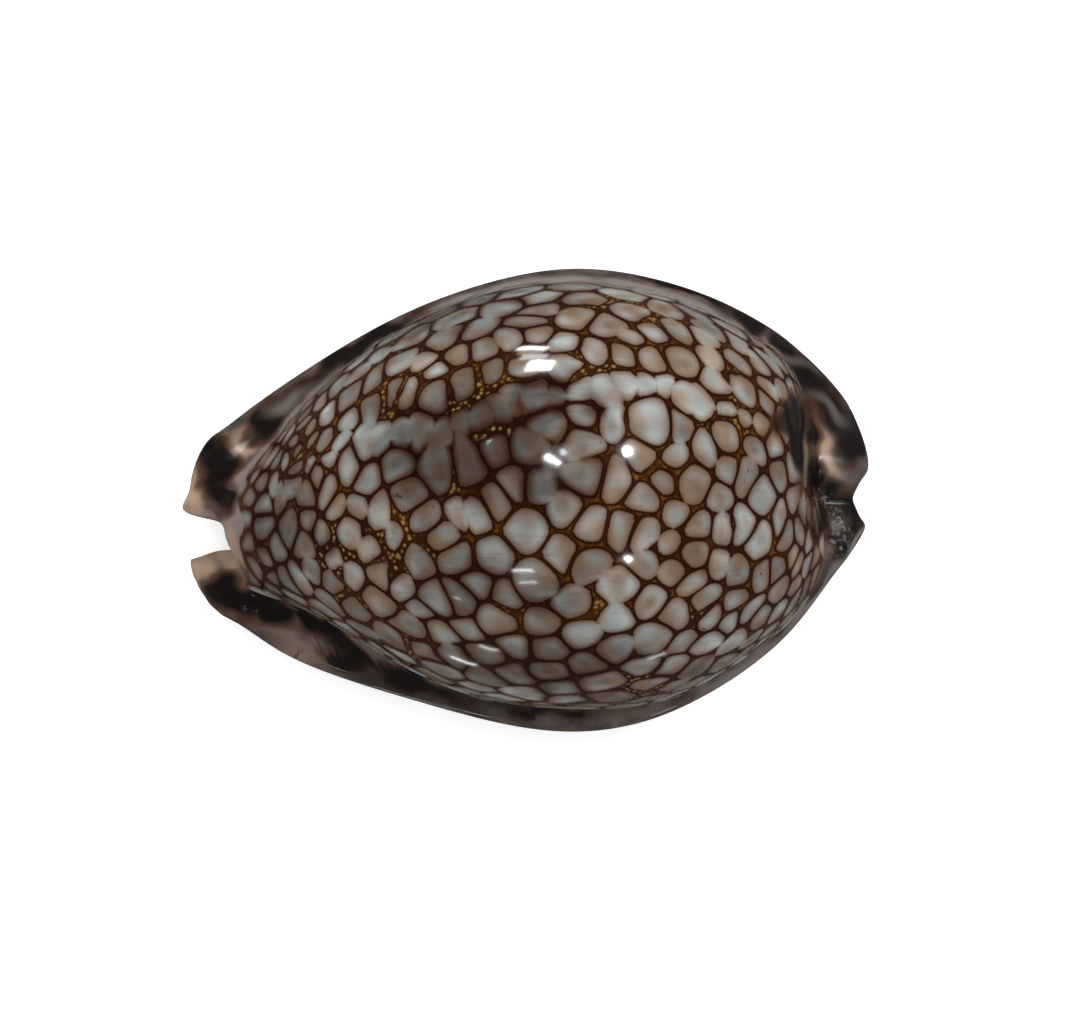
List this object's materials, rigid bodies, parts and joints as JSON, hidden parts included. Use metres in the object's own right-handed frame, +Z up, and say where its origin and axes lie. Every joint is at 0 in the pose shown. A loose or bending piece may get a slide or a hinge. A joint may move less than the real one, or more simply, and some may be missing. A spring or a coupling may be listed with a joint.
{
  "type": "cowrie shell",
  "caption": "Glossy domed cowrie shell with a netted brown back, dark-blotched margins and a narrow toothed slit along the flat base.",
  "frame": {"origin": "bottom centre of the bounding box, on the surface the base rests on", "axes": "+X from the front (anterior) end to the back end with the spire, along the length; +Y to the outer lip's side; +Z up through the domed back"},
  "size_m": [0.065, 0.0438, 0.033],
  "materials": {
    "shell": "glossy porcelain-like aragonite, smoky grey-white back netted in dark brown, black-brown blotches on grey-cream margins, beige base with brown teeth"
  },
  "bodies": {
    "root": {"cowrie_shell": "shell"}
  },
  "joints": []
}
